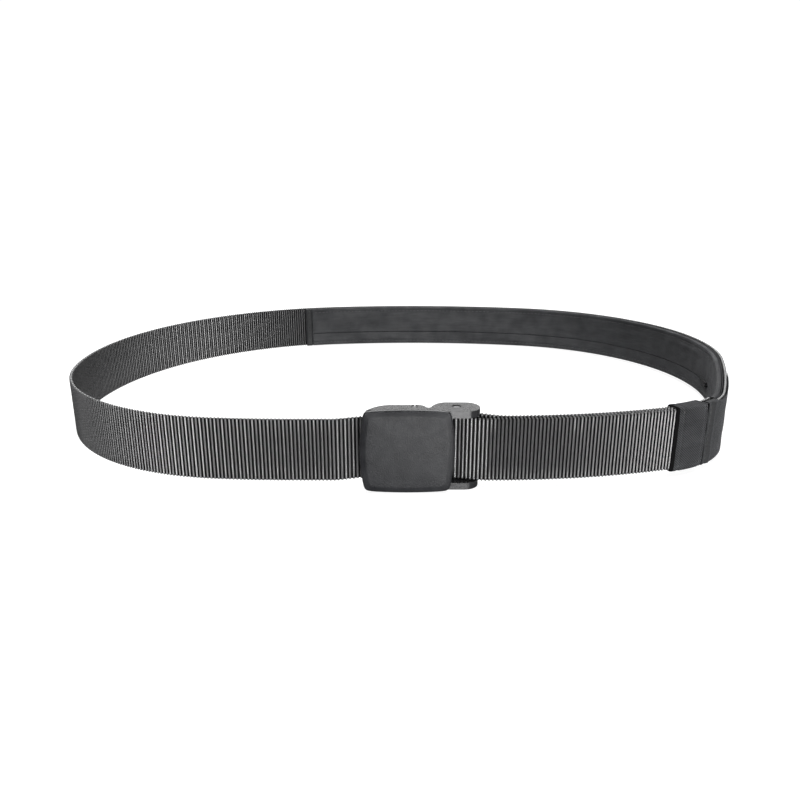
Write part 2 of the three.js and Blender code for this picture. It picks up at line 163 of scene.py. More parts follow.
def tail_depth(x):
    """Depth of the webbing's outer face, x mm right of the cover's middle."""
    knots, depths = zip(*TAIL_ROUTE)
    i = np.clip(np.searchsorted(knots, x), 1, len(knots) - 1)
    before, after = np.array(knots)[i - 1], np.array(knots)[i]
    low, high = np.array(depths)[i - 1], np.array(depths)[i]
    through = low + (high - low) * smooth((x - before) / (after - before))
    on_loop = loop_depth("back", x - ANCHOR[0]) + WEBBING_THICKNESS / 2 + GAP
    return np.where(x > knots[-1], on_loop, through)


def main_route(s):
    return plan(s, tail_depth(s - RING_LENGTH - BUCKLE_S) + WEBBING_THICKNESS / 2)


def anchor_route(t):
    """Round the anchor pin: t is 0 at the loop's nose, negative along its front layer."""
    pin = BUCKLE_S + ANCHOR[0]
    run = np.abs(t) - LOOP_RADIUS * math.pi / 2
    angle = t / LOOP_RADIUS
    straight = np.where(t < 0, loop_depth("front", run), loop_depth("back", run))
    past = run > 0
    s = pin + np.where(past, run, -LOOP_RADIUS * np.cos(angle))
    return plan(s, np.where(past, straight, ANCHOR[1] + LOOP_RADIUS * np.sin(angle)))


# ---------- mesh helpers ----------


def add_object(name, mesh, material, slot, body, *replaced):
    piece = bpy.data.objects.new(name, mesh)
    bpy.context.scene.collection.objects.link(piece)
    mesh.materials.clear()
    mesh.materials.append(material)
    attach(piece, body)
    if replaced:
        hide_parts(*replaced)
    return piece


def skin(name, points, cloth, look, ends="capped", replaced=(), body="belt"):
    """A closed mesh from a grid of points [station, round the section]. ends is capped, or joined where the
    last station meets the first. cloth holds each point's (s, height, depth), which the materials read."""
    stations, around = points.shape[:2]
    index = np.arange(stations * around).reshape(stations, around)
    following = np.roll(index, -1, axis=0) if ends == "joined" else index[1:]
    here = index if ends == "joined" else index[:-1]
    quads = np.stack([here, np.roll(here, -1, axis=1), np.roll(following, -1, axis=1), following], axis=-1)
    faces = quads.reshape(-1, 4).tolist()
    if ends == "capped":
        faces += [index[0].tolist(), index[-1][::-1].tolist()]
    mesh = bpy.data.meshes.new(name)
    mesh.from_pydata(points.reshape(-1, 3).tolist(), [], faces)
    attribute = mesh.attributes.new("cloth", "FLOAT_VECTOR", "POINT")
    attribute.data.foreach_set("vector", (cloth * MM).reshape(-1, 3).astype(np.float32).ravel())
    tidy_normals(mesh)
    return add_object(name, mesh, *look, body, *replaced)


def tidy_normals(mesh, angle=50):
    work = bmesh.new()
    work.from_mesh(mesh)
    bmesh.ops.recalc_face_normals(work, faces=work.faces)
    for edge in work.edges:
        edge.smooth = edge.calc_face_angle(0) < math.radians(angle)
    work.to_mesh(mesh)
    work.free()
    mesh.polygons.foreach_set("use_smooth", [True] * len(mesh.polygons))


def sweep(name, section, route, stations, look, replaced=()):
    """Sweeps a section, given as (across, height) for each station and point, along a plan route."""
    reach = 0.05
    middle = route(stations)
    along = route(stations + reach) - route(stations - reach)
    along /= np.linalg.norm(along, axis=1, keepdims=True)
    across, height = section
    normal = np.stack([-along[:, 1], along[:, 0]], axis=-1)
    ground = middle[:, None] + normal[:, None] * across[..., None]
    cloth = np.stack([np.broadcast_to(stations[:, None], across.shape), height, across], axis=-1)
    return skin(name, in_frame(ground, height), cloth, look, replaced=replaced)


def ring_skin(name, s, depth, height, look, ends="capped", replaced=()):
    """A skin whose grid is given in belt coordinates."""
    s, depth, height = np.broadcast_arrays(s, depth, height)
    cloth = np.stack([s, height, depth], axis=-1)
    return skin(name, in_frame(plan(s, depth), height), cloth, look, ends, replaced)


def spaced(start, end, step):
    return np.linspace(start, end, max(2, round((end - start) / step) + 1))


def rounded(path, passes=2):
    """An open polyline with its corners cut, keeping both ends."""
    path = np.array(path, float)
    for _ in range(passes):
        a, b = path[:-1], path[1:]
        cut = np.stack([0.75 * a + 0.25 * b, 0.25 * a + 0.75 * b], axis=1).reshape(-1, 2)
        path = np.concatenate([path[:1], cut, path[-1:]])
    return path


def thickened(path, thickness):
    """A closed section round an open centre line, with rounded ends, and the cloth's width along the line."""
    tangent = np.gradient(path, axis=0)
    tangent /= np.linalg.norm(tangent, axis=1, keepdims=True)
    side = np.stack([-tangent[:, 1], tangent[:, 0]], axis=1) * thickness / 2
    first, last = path[0] - tangent[0] * thickness / 2, path[-1] + tangent[-1] * thickness / 2
    loop = np.concatenate([path + side, [last], (path - side)[::-1], [first]])
    return loop, float(np.linalg.norm(np.diff(path, axis=0), axis=1).sum())


def rounded_rectangle(x0, x1, y0, y1, radius, step=1.6):
    """A closed loop of points, with quarter-round corners."""
    points = []
    corners = [(x1 - radius, y0 + radius, -90), (x1 - radius, y1 - radius, 0),
               (x0 + radius, y1 - radius, 90), (x0 + radius, y0 + radius, 180)]
    for i, (cx, cy, first) in enumerate(corners):
        for turn in (0, 30, 60, 90):
            angle = math.radians(first + turn)
            points.append((cx + radius * math.cos(angle), cy + radius * math.sin(angle)))
        nx, ny, following = corners[(i + 1) % 4]
        angle = math.radians(following)
        target = (nx + radius * math.cos(angle), ny + radius * math.sin(angle))
        fill = spaced(0, 1, step / max(step, math.dist(points[-1], target)))[1:-1]
        start = points[-1]
        dx, dy = target[0] - start[0], target[1] - start[1]
        points += [(start[0] + dx * t, start[1] + dy * t) for t in fill]
    return np.array(points)


def waves(seed, count, along, across, size):
    """A smooth field of (s, height) made of a few sine waves with their lengths in the two ranges."""
    rng = np.random.default_rng(seed)
    parts = [(rng.uniform(*along), rng.choice([-1, 1]) * rng.uniform(*across), rng.uniform(0, 2 * math.pi))
             for _ in range(count)]

    def field(s, height):
        total = sum(np.sin(2 * math.pi * (s / a + height / b) + phase) for a, b, phase in parts)
        return total * size / math.sqrt(count)

    return field


# ---------- materials ----------


class Look:
    """A Principled material and short calls for its nodes, mostly in millimetres of cloth or object."""

    def __init__(self, name, **sockets):
        self.material = bpy.data.materials.new(name)
        self.material.use_nodes = True
        self.tree = self.material.node_tree
        self.shader = self.tree.nodes["Principled BSDF"]
        for socket, value in sockets.items():
            self.shader.inputs[socket.replace("_", " ")].default_value = value

    def add(self, kind, inputs=(), output=0, **settings):
        node = self.tree.nodes.new("ShaderNode" + kind)
        for key, value in settings.items():
            setattr(node, key, value)
        for key, value in dict(inputs).items():
            if isinstance(value, bpy.types.NodeSocket):
                self.tree.links.new(value, node.inputs[key])
            else:
                node.inputs[key].default_value = value
        return node.outputs[output]

    def math(self, operation, *values):
        return self.add("Math", enumerate(values), operation=operation)

    def cloth(self):
        """s, height and depth in millimetres."""
        vector = self.add("Attribute", output="Vector", attribute_name="cloth")
        scaled = self.add("VectorMath", {0: vector, 1: (1000, 1000, 1000)}, operation="MULTIPLY")
        split = self.tree.nodes.new("ShaderNodeSeparateXYZ")
        self.tree.links.new(scaled, split.inputs[0])
        return split.outputs[0], split.outputs[1], split.outputs[2]

    def place(self, scale=(1000, 1000, 1000)):
        """Object coordinates in millimetres, stretched by scale / 1000."""
        vector = self.add("TexCoord", output="Object")
        return self.add("VectorMath", {0: vector, 1: scale}, operation="MULTIPLY")

    def combine(self, x, y, z=0.0):
        return self.add("CombineXYZ", {0: x, 1: y, 2: z})

    def noise(self, vector, scale, detail=2.0):
        """Noise stretched to fill 0 to 1."""
        plain = self.add("TexNoise", {"Vector": vector, "Scale": scale, "Detail": detail})
        return self.add("MapRange", {"Value": plain, "From Min": 0.3, "From Max": 0.7})

    def wave(self, value, period):
        """A cosine wave from 0 to 1."""
        angle = self.math("MULTIPLY", value, 2 * math.pi / period)
        return self.math("MULTIPLY_ADD", self.math("COSINE", angle), 0.5, 0.5)

    def between(self, factor, low, high):
        return self.add("MapRange", {"Value": factor, "To Min": low, "To Max": high})

    def colour(self, factor, dark, light):
        mixed = self.add("Mix", {0: factor, 6: (*dark, 1), 7: (*light, 1)}, output=2, data_type="RGBA")
        self.tree.links.new(mixed, self.shader.inputs["Base Color"])

    def roughness(self, factor, low, high):
        self.tree.links.new(self.between(factor, low, high), self.shader.inputs["Roughness"])

    def bump(self, *layers):
        """Layers of (height from 0 to 1, depth in millimetres, strength)."""
        normal = None
        for height, distance, strength in layers:
            inputs = {"Height": height, "Distance": distance * MM, "Strength": strength}
            if normal:
                inputs["Normal"] = normal
            normal = self.add("Bump", inputs)
        self.tree.links.new(normal, self.shader.inputs["Normal"])


RIB_PITCH = 1.7
YARN_PITCH = 0.85


def webbing_look():
    """Ribs across the width: floats lie side by side on each, and every second rib is bound in two rows."""
    look = Look("webbing_black", IOR=1.75, Specular_IOR_Level=1.0)
    s, height, _ = look.cloth()
    phase = look.math("MULTIPLY", s, 1 / RIB_PITCH)
    bound = look.math("MODULO", look.math("FLOOR", phase), 2.0)
    second_row = look.math("GREATER_THAN", look.math("FRACT", phase), 0.5)
    offset = look.math("MULTIPLY", look.math("MULTIPLY", bound, second_row), YARN_PITCH / 2)
    yarn = look.wave(look.math("ADD", height, offset), YARN_PITCH)
    floats = look.math("MULTIPLY", yarn, look.between(bound, 0.3, 1.0))
    valleys = look.math("MULTIPLY", look.math("SUBTRACT", 1.0, yarn), look.between(bound, 0.25, 1.0))
    stretched = look.combine(look.math("MULTIPLY", s, 0.8), look.math("MULTIPLY", height, 3.0))
    fibres = look.noise(stretched, 3.0, 4.0)
    patches = look.noise(look.combine(s, height), 0.05)
    shade = look.math("MULTIPLY_ADD", fibres, 0.5, look.math("MULTIPLY", floats, 0.5))
    look.colour(shade, (0.003, 0.003, 0.0035), (0.03, 0.03, 0.032))
    crest = look.math("ABSOLUTE", look.math("SINE", look.math("MULTIPLY", phase, math.pi)))
    flank = look.math("SUBTRACT", 1.0, crest)
    worn = look.math("MULTIPLY_ADD", patches, 0.12, look.math("MULTIPLY", fibres, 0.12))
    worn = look.math("MULTIPLY_ADD", flank, 2.2, worn)
    look.roughness(look.math("MULTIPLY_ADD", valleys, 0.8, worn), 0.22, 0.85)
    look.bump((floats, 0.2, 0.8), (fibres, 0.05, 0.5))
    return look.material, "webbing"


def groove_shade_look():
    """Near-black colour painted as the shade at the bottom of the furrows between ribs, where the yarns dive
    under; the sleeve's sunk hem takes it too.
    """
    look = Look("webbing_groove_painted_shade", IOR=1.12)
    s, height, _ = look.cloth()
    fibres = look.noise(look.combine(s, look.math("MULTIPLY", height, 3.0)), 3.0, 3.0)
    look.colour(fibres, (0.0005, 0.0005, 0.0005), (0.004, 0.004, 0.0043))
    look.roughness(fibres, 0.7, 0.95)
    look.bump((fibres, 0.05, 0.4))
    return look.material


def woven_look(name, slot, dark, light, thread, diagonal, depth, weave_share=0.3, ior=1.36, rough=(0.5, 0.8)):
    """A plain or twill weave of the given thread pitch, with lengthwise streaks and soft cloudy patches that
    are lighter and glossier: their lighter colour is painted sheen.
    """
    look = Look(name, IOR=ior, Sheen_Weight=0.1, Sheen_Roughness=0.45, Sheen_Tint=(0.75, 0.76, 0.8, 1))
    s, height, _ = look.cloth()
    if diagonal:
        lines = look.wave(look.math("ADD", s, look.math("MULTIPLY", height, 1.1)), thread)
        weave = look.math("MULTIPLY", lines, look.wave(look.math("SUBTRACT", s, height), thread * 0.9))
        weave = look.math("MULTIPLY_ADD", lines, 0.6, look.math("MULTIPLY", weave, 0.4))
    else:
        warp, weft = look.wave(s, thread), look.wave(height, thread)
        weave = look.math("ABSOLUTE", look.math("SUBTRACT", warp, weft))
    streaks = look.noise(look.combine(look.math("MULTIPLY", s, 0.12), height), 0.8, 5.0)
    sheen_clouds = look.noise(look.combine(s, height, 7.0), 0.09, 2.0)
    fuzz = look.noise(look.combine(s, height), 5.0, 3.0)
    # The cloudy patches lighten the colour as painted sheen, and lower the roughness.
    tone = look.math("MULTIPLY_ADD", sheen_clouds, 0.5, look.math("MULTIPLY", streaks, 0.5))
    tone = look.math("MULTIPLY_ADD", weave, weave_share, look.math("MULTIPLY", tone, 0.9 - weave_share))
    look.colour(look.math("MULTIPLY_ADD", fuzz, 0.1, tone), dark, light)
    patchy = look.math("MULTIPLY_ADD", sheen_clouds, -0.7, 0.7)
    look.roughness(look.math("MULTIPLY_ADD", fuzz, 0.3, patchy), *rough)
    look.bump((weave, depth, 0.7), (fuzz, 0.08, 0.4))
    return look.material, slot


def moulded_look(name, slot, dark, light, grain, rough, depth=0.03, ior=1.4):
    """Moulded plastic: fine grain, faint flow variation and small rubbed marks."""
    look = Look(name, IOR=ior)
    place = look.place()
    fine = look.noise(place, grain, 3.0)
    cloud = look.noise(place, 0.12, 3.0)
    rubbed = look.noise(place, 0.35, 5.0)
    look.colour(look.math("MULTIPLY_ADD", fine, 0.35, look.math("MULTIPLY", cloud, 0.65)), dark, light)
    look.roughness(look.math("MULTIPLY_ADD", rubbed, 0.6, look.math("MULTIPLY", fine, 0.4)), *rough)
    look.bump((fine, depth, 0.6))
    return look.material, slot


def metal_look(name, slot, dark, light, rough, metallic):
    """Blackened or enamelled metal with fine drawn lines."""
    look = Look(name, Metallic=metallic)
    drawn = look.noise(look.place((3000, 3000, 200)), 1.2, 3.0)
    spots = look.noise(look.place(), 0.7, 4.0)
    look.colour(look.math("MULTIPLY_ADD", drawn, 0.5, look.math("MULTIPLY", spots, 0.5)), dark, light)
    look.roughness(spots, *rough)
    look.bump((drawn, 0.02, 0.4))
    return look.material, slot


def thread_look(name, dark, light):
    look = Look(name, Sheen_Weight=0.15)
    twist = look.wave(look.add("TexCoord", output="Object"), 0.0004)
    fuzz = look.noise(look.place(), 4.0)
    look.colour(look.math("MULTIPLY", twist, fuzz), dark, light)
    look.roughness(fuzz, 0.45, 0.65)
    look.bump((fuzz, 0.05, 0.5))
    return look.material, "pocket_fabric"


WEBBING = webbing_look()
GROOVE_SHADE = groove_shade_look()
POCKET_CLOTH = woven_look(
    "pocket_cloth", "pocket_fabric", (0.006, 0.006, 0.007), (0.028, 0.029, 0.031),
    thread=0.5, diagonal=False, depth=0.08)
WRAP_CLOTH = woven_look(
    "wrap_cloth", "pocket_fabric", (0.003, 0.003, 0.0035), (0.018, 0.019, 0.02),
    thread=0.45, diagonal=False, depth=0.06)
SLEEVE_TWILL = woven_look(
    "sleeve_twill", "sleeve_fabric", (0.001, 0.001, 0.001), (0.05, 0.051, 0.054),
    thread=1.25, diagonal=True, depth=0.4, weave_share=0.6, ior=1.15)
TAPE = woven_look(
    "zip_tape", "zip_nylon", (0.008, 0.008, 0.009), (0.03, 0.03, 0.032),
    thread=0.6, diagonal=True, depth=0.08)
COIL = moulded_look(
    "zip_coil", "zip_nylon", (0.02, 0.02, 0.021), (0.05, 0.05, 0.053), grain=2.0, rough=(0.28, 0.4))
COVER_PLASTIC = moulded_look(
    "cover_plastic", "cover_plastic", (0.006, 0.006, 0.007), (0.017, 0.0175, 0.019),
    grain=1.8, rough=(0.36, 0.5), depth=0.06, ior=1.22)
COVER_RIM = moulded_look(
    "cover_rim", "cover_plastic", (0.006, 0.006, 0.007), (0.02, 0.0205, 0.022),
    grain=1.8, rough=(0.16, 0.24), depth=0.02, ior=1.5)
FRAME_PLASTIC = moulded_look(
    "frame_plastic", "frame_plastic", (0.006, 0.006, 0.0065), (0.02, 0.02, 0.0215),
    grain=2.2, rough=(0.2, 0.32), ior=1.3)
PIN_STEEL = metal_look(
    "pin_steel", "pin_steel", (0.05, 0.05, 0.052), (0.16, 0.16, 0.165), rough=(0.25, 0.4), metallic=0.9)
ZIP_METAL = metal_look(
    "zip_metal", "zip_metal", (0.02, 0.02, 0.021), (0.07, 0.07, 0.073), rough=(0.25, 0.42), metallic=0.7)
THREAD = thread_look("sewing_thread", (0.012, 0.012, 0.013), (0.06, 0.06, 0.064))
DARK_THREAD = thread_look("dark_thread", (0.0005, 0.0005, 0.0005), (0.004, 0.004, 0.004))

# ---------- webbing ----------

RIB_HEIGHT = 0.54
BETWEEN_RIBS = 0.32
# Rows up from each edge: height, half thickness between the ribs, what a rib adds, and how far the row
# draws in between the ribs.
EDGE_ROWS = [
    (0, 0, 0, 0.55), (0.12, 0.2, 0.34, 0.5), (0.55, 0.3, 0.5, 0.25), (1.4, BETWEEN_RIBS, RIB_HEIGHT, 0),
]
MIDDLE_ROWS = [(height, BETWEEN_RIBS, RIB_HEIGHT, 0) for height in (8, 15, 22)]
# One rib: how far along the pitch each station is, and how high the rib stands there.
RIB = [(0.0, 0.0), (0.25, 0.38), (0.38, 0.82), (0.5, 1.0), (0.62, 0.82), (0.75, 0.38)]


def webbing(name, route, start, end):
    """A ribbed strip: the ribs stand on both faces and run on over the two edges."""
    shares, heights = (np.array(column) for column in zip(*RIB))
    pitches = np.arange(math.ceil(start / RIB_PITCH), math.floor(end / RIB_PITCH))
    stations = ((pitches[:, None] + shares) * RIB_PITCH).ravel()
    ribs = np.tile(heights, len(pitches))[:, None]
    lower = np.array(EDGE_ROWS, float)
    upper = lower[::-1] * [-1, 1, 1, -1] + [WEBBING_WIDTH, 0, 0, 0]
    height, plain, added, drawn_in = np.concatenate([lower, MIDDLE_ROWS, upper]).T
    half = plain + added * ribs
    level = height + drawn_in * (1 - ribs)
    across = np.concatenate([-half, half[:, -2:0:-1]], axis=1)
    level = np.concatenate([level, level[:, -2:0:-1]], axis=1)
    strip = sweep(name + "_woven", (across, level), route, stations, WEBBING, [name])
    # Faces in the furrows between ribs take the near-black groove colour: painted shade.
    strip.data.materials.append(GROOVE_SHADE)
    low = np.repeat((ribs[:-1] * ribs[1:])[:, 0] == 0, across.shape[1])
    strip.data.polygons.foreach_set("material_index", [*low.astype(int), 0, 0])


webbing("main_webbing", main_route, LAP_START, RING_LENGTH + TAIL_END)
quarter = LOOP_RADIUS * math.pi / 2
pin_s = BUCKLE_S + ANCHOR[0]
front_end, back_end = (end - pin_s + quarter for end in ANCHOR_ENDS)
webbing("anchor_webbing", anchor_route, -front_end, back_end)

# ---------- sleeve and wrap ----------

CLOTH = 0.3
SLEEVE_CLOTH = 0.5
SLEEVE_LINING = 0.42  # how far the tube's inner face lies inside its plain outline
SLEEVE_SEAMS = (SLEEVE[0] + 4.2, SLEEVE[1] - 1.7)
SLEEVE_BACK = 2 * LAYER + WEBBING_THICKNESS + GAP
SLEEVE_HEM = 1.3  # a thin edge sunk below the twill, painted near-black as the shade in the sleeve's mouth


def seam_pull(along, seams, width, depth):
    """How far cloth is drawn in near stitched seams."""
    return -depth * sum(np.exp(-((along - seam) / width) ** 2) for seam in seams)


def end_sleeve():
    """A sewn tube round the lap joint, hemmed at both ends."""
    outer = rounded_rectangle(-GAP - SLEEVE_CLOTH, SLEEVE_BACK + SLEEVE_CLOTH, -GAP - SLEEVE_CLOTH,
                              WEBBING_WIDTH + GAP + SLEEVE_CLOTH, 1.1)
    centre = np.array([SLEEVE_BACK / 2, WEBBING_WIDTH / 2])
    inward = centre - outer
    inward /= np.maximum(np.abs(inward) / centre, 1e-6).max(1)[:, None]
    inward = np.sign(inward) * np.minimum(1, np.abs(inward) / 3)
    outward = -inward / np.maximum(np.linalg.norm(inward, axis=1, keepdims=True), 1e-6)
    s = spaced(*SLEEVE, 0.4)
    lumps = waves(11, 6, (7, 16), (6, 15), 0.12)(s[:, None], outer[None, :, 1])
    pull = seam_pull(s, SLEEVE_SEAMS, 0.45, 0.3)[:, None]
    ends = -0.35 * (np.exp(-(s - SLEEVE[0]) / 0.35) + np.exp(-(SLEEVE[1] - s) / 0.35))[:, None]
    up = outer[:, 1]
    front = smooth((0.6 - outer[:, 0]) / 0.8)[None] * smooth((up - 1) / 5) * smooth((29 - up) / 5)
    step = (0.75 * smooth((s - SLEEVE[0] - SLEEVE_HEM) / 0.45) - 0.25)[:, None] * front
    swell = (lumps * (step > 0) + pull + ends + step)[..., None]
    outside = outer + outward * swell
    inside = np.broadcast_to(outer - outward * SLEEVE_LINING, outside.shape)
    section = np.concatenate([outside, inside[::-1]])
    stations = np.concatenate([s, s[::-1]])[:, None]
    depth, height = section[..., 0], section[..., 1]
    sleeve = ring_skin("end_sleeve_cloth", stations, depth, height, SLEEVE_TWILL, "joined", ["end_sleeve"])
    # The hem's faces take the near-black groove colour: painted shade of the gap at the sleeve's mouth.
    sleeve.data.materials.append(GROOVE_SHADE)
    hem = s[:-1] < SLEEVE[0] + SLEEVE_HEM
    hem = np.concatenate([hem, [False], hem[::-1], [True]])
    sleeve.data.polygons.foreach_set("material_index", np.repeat(hem, len(outer)).astype(int))


WRAP_CLOTH_THICKNESS = 0.45
WRAP_SEAM = WRAP[0] + 2.2
WRAP_RIDGE = WRAP_SEAM + 2.6  # the cloth bulges past the seam
# Past here the upper edge is turned in on the outer face, and the webbing's own edge shows.
WRAP_FOLDS_TO = 160


def pocket_wrap():
    """Cloth over the webbing's outer face, turned over the lower edge and the start of the upper."""
    face, back = -GAP - 0.25, WEBBING_THICKNESS - 0.1
    low, high = -GAP - 0.25, WEBBING_WIDTH + GAP + 0.25
    rising = [(back, low), (0.6, low), (face, low), (face, low + 0.9)]
    rising += [(face, h) for h in spaced(2, WEBBING_WIDTH - 2, 1.2)]
    folded = rounded(rising + [(face, high - 0.9), (face, high), (0.6, high), (back, high)])
    turned_in = rounded(rising + [(face, 28.6), (face, 29.1), (face + 0.08, 29.3), (face + 0.1, 29.4)])
    section, width = thickened(folded, WRAP_CLOTH_THICKNESS)
    turned, _ = thickened(turned_in, CLOTH)
    s = spaced(*WRAP, 0.8)[:, None]
    unfolding = smooth((s - WRAP_FOLDS_TO + 6) / 6)[..., None]
    depth, height = np.moveaxis(section * (1 - unfolding) + turned * unfolding, -1, 0)
    on_face = smooth((0.6 - depth) / 0.8)
    near_start = np.exp(-(s - WRAP[0]) / 9)
    puckers = waves(5, 5, (2.6, 5), (18, 60), 0.3)(s, height)
    puckers = puckers * near_start * (0.15 + smooth((height - 14) / 12))
    slack = waves(8, 5, (30, 70), (9, 20), 0.14)(s, height)
    ridge = 0.45 * np.exp(-((s - WRAP_RIDGE) / 1.2) ** 2)
    swell = (np.abs(puckers) + slack + ridge + seam_pull(s, [WRAP_SEAM], 0.7, 0.4)) * on_face
    wrap = ring_skin("pocket_wrap_cloth", s, depth - swell, height, WRAP_CLOTH, "capped", ["pocket_wrap"])


end_sleeve()
pocket_wrap()

# ---------- pocket ----------

# Centre lines of the cloth as (depth, height): from the lip's turned-in edge round to the hem's.
UPPER_PATH = [
    (5.02, 14.2), (5.02, 12.4), (5.02, 10.6), (5.14, 10.21), (5.3, 10.5), (5.36, 12.6), (5.45, 15),
    (5.52, 18), (5.5, 21), (5.42, 24), (5.25, 26.0), (4.98, 26.7), (5.2, 27.4), (5.3, 28.3), (5.1, 29.1),
    (4.4, 29.35), (3.6, 29.35), (3.0, 29.0), (2.98, 28.0), (3.02, 26.4),
]
LOWER_PATH = [
    (5.02, 5.8), (5.02, 7.6), (5.0, 9.4), (5.08, 9.79), (5.22, 9.5), (5.33, 7.6), (5.4, 6.0), (5.36, 4.6),
    (5.2, 3.6), (4.98, 3.0), (5.18, 2.4), (5.25, 1.6), (5.05, 0.85), (4.4, 0.65), (3.6, 0.65), (3.0, 0.95),
    (2.98, 1.8), (3.02, 3.2),
]
BACK_PATH = [(2.32, 0.8), (2.32, 8), (2.32, 15), (2.32, 22), (2.32, 29.2)]
UPPER_SEAM, LOWER_SEAM = 26.7, 3.0


def pocket_panel(name, path, seam, seed):
    section, width = thickened(rounded(path), CLOTH)
    s = spaced(*POCKET, 1.4)[:, None]
    depth, height = section[:, 0][None], section[:, 1][None]
    free = smooth((depth - 4.9) / 0.5)
    long_folds = waves(seed, 7, (70, 220), (6, 13), 0.34)(s, height)
    short_folds = waves(seed + 1, 6, (9, 24), (20, 50), 0.1)(s, height)
    patch = 0.5 + 0.5 * waves(seed + 2, 4, (60, 140), (60, 90), 0.7)(s, height)
    away = smooth(np.abs(height - ZIP_HEIGHT) / 5)
    gathers = 0.1 * np.sin(2 * math.pi * s / 3.1) * np.exp(-np.abs(height - seam) / 1.3)
    off_seam = smooth(np.abs(height - seam) / 2.5)
    swell = np.maximum(long_folds * patch + short_folds, -0.12) * away * off_seam
    depth = depth + (swell + gathers) * free
    panel = ring_skin(name + "_cloth", s, depth, height, POCKET_CLOTH, "capped", [name])


def back_panel():
    section, width = thickened(rounded(BACK_PATH), CLOTH)
    s = spaced(*POCKET, 2.4)[:, None]
    depth, height = section[:, 0][None], section[:, 1][None]
    ripple = waves(31, 5, (30, 80), (9, 25), 0.02)(s, height)
    panel = ring_skin("pocket_back_panel_cloth", s, depth + ripple, height, POCKET_CLOTH,
                      "capped", ["pocket_back_panel"])


BINDING_MIDDLE = sum(BINDING) / 2


def end_binding():
    """A tape folded over the left end of the pocket and sewn through."""
    section = rounded_rectangle(2.15, 5.5, 0.55, 29.45, 0.7, 1.2)
    s = spaced(*BINDING, 0.4)[:, None]
    depth, height = section[:, 0][None], section[:, 1][None]
    from_middle = np.abs(s - BINDING_MIDDLE)
    thin = smooth((depth - 3.6) / 1.2)
    roll = 0.9 * (from_middle / (BINDING[1] - BINDING[0]) * 2) ** 4
    gathers = 0.12 * np.sin(2 * math.pi * height / 3.0) * np.exp(-from_middle / 1.5)
    swell = (gathers - roll + seam_pull(s, [BINDING_MIDDLE], 0.6, 0.25)) * thin
    ring_skin("pocket_end_binding_cloth", s, depth + swell, height, WRAP_CLOTH, "capped",
              ["pocket_end_binding"])


pocket_panel("pocket_upper_panel", UPPER_PATH, UPPER_SEAM, 3)
pocket_panel("pocket_lower_panel", LOWER_PATH, LOWER_SEAM, 17)
back_panel()
end_binding()

# ---------- stitching ----------


# One stitch: how far along it each ring is, its share of the radius, and its lift in radii.
STITCH_RINGS = [
    (-0.5, 0.25, -1.2), (-0.42, 0.85, -0.35), (-0.15, 1, 0), (0.15, 1, 0), (0.42, 0.85, -0.35),
    (0.5, 0.25, -1.2),
]


def capsules(name, look, centres, directions, normals, length, radius):
    """Short threads lying along directions, each a tapered six-sided tube that dips in at both ends."""
    sides = 6
    vertices, faces = [], []
    for centre, direction, normal in zip(centres, directions, normals):
        binormal = np.cross(direction, normal)
        base = len(vertices)
        for t, size, lift in STITCH_RINGS:
            middle = centre + direction * length * t + normal * radius * lift
            for k in range(sides):
                angle = 2 * math.pi * k / sides
                spoke = math.cos(angle) * normal + math.sin(angle) * binormal
                vertices.append(middle + radius * size * spoke)
        for i in range(len(STITCH_RINGS) - 1):
            for k in range(sides):
                a, b = base + i * sides + k, base + i * sides + (k + 1) % sides
                faces.append((a, b, b + sides, a + sides))
        last = base + (len(STITCH_RINGS) - 1) * sides
        faces.append(tuple(range(base, base + sides))[::-1])
        faces.append(tuple(range(last, last + sides)))
    mesh = bpy.data.meshes.new(name)
    mesh.from_pydata([tuple(v) for v in vertices], [], faces)
    tidy_normals(mesh, 80)
    add_object(name, mesh, *look, "belt")


def stitches(name, rows, length=2.3, pitch=2.9, radius=0.17, look=THREAD):
    """rows holds each seam's start and end in belt coordinates, and which way its face looks (1: inwards)."""
    centres, directions, normals = [], [], []
    for start, end, facing in rows:
        start, end = np.array(start, float), np.array(end, float)
        run = np.linalg.norm((end - start)[[0, 2]])
        count = round(run / pitch)
        near = (end - start) / run * 0.05
        for t in (np.arange(count) + 0.5) / count:
            s, depth, height = start + (end - start) * t
            here = in_frame(plan([s], depth), np.array([height]))[0]
            ahead = in_frame(plan([s + near[0]], depth + near[1]), np.array([height + near[2]]))[0]
            inner = in_frame(plan([s], depth + 0.05), np.array([height]))[0]
            centres.append(here)
            directions.append((ahead - here) / np.linalg.norm(ahead - here))
            normals.append(facing * (inner - here) / np.linalg.norm(inner - here))
    capsules(name, look, np.array(centres), np.array(directions), np.array(normals), length * MM, radius * MM)


SEAM_MARGIN = 1.5
pocket_ends = (POCKET[0] + SEAM_MARGIN, POCKET[1] - SEAM_MARGIN)
pocket_face = 5.16
stitches("pocket_thread", [
    ((pocket_ends[0], pocket_face, seam), (pocket_ends[1], pocket_face, seam), 1)
    for seam in (UPPER_SEAM, LOWER_SEAM)
])
outer_start, outer_face = WRAP[1] + SEAM_MARGIN, 0.02
stitches("pocket_thread_outside", [
    ((outer_start, outer_face, seam), (pocket_ends[1], outer_face, seam), -1)
    for seam in (UPPER_SEAM, LOWER_SEAM)
])
wrap_face = -GAP - 0.28
stitches("wrap_thread", [((WRAP_SEAM, wrap_face, 0.9), (WRAP_SEAM, wrap_face, 29.2), -1)],
         length=1.6, pitch=2.5, radius=0.3, look=DARK_THREAD)
sleeve_face = -GAP - SLEEVE_CLOTH + 0.22
stitches("sleeve_thread", [
    ((seam, sleeve_face, 0.8), (seam, sleeve_face, 29.4), -1) for seam in SLEEVE_SEAMS
], length=1.5, pitch=2.1, radius=0.22)
stitches("binding_thread", [((BINDING_MIDDLE, 5.32, 1.6), (BINDING_MIDDLE, 5.32, 28.6), 1)],
         length=1.5, pitch=2.2, radius=0.24, look=DARK_THREAD)

# ---------- zip ----------

COIL_PITCH = 1.0
COIL_WIRE = 0.17
POINTS_PER_TURN = 10


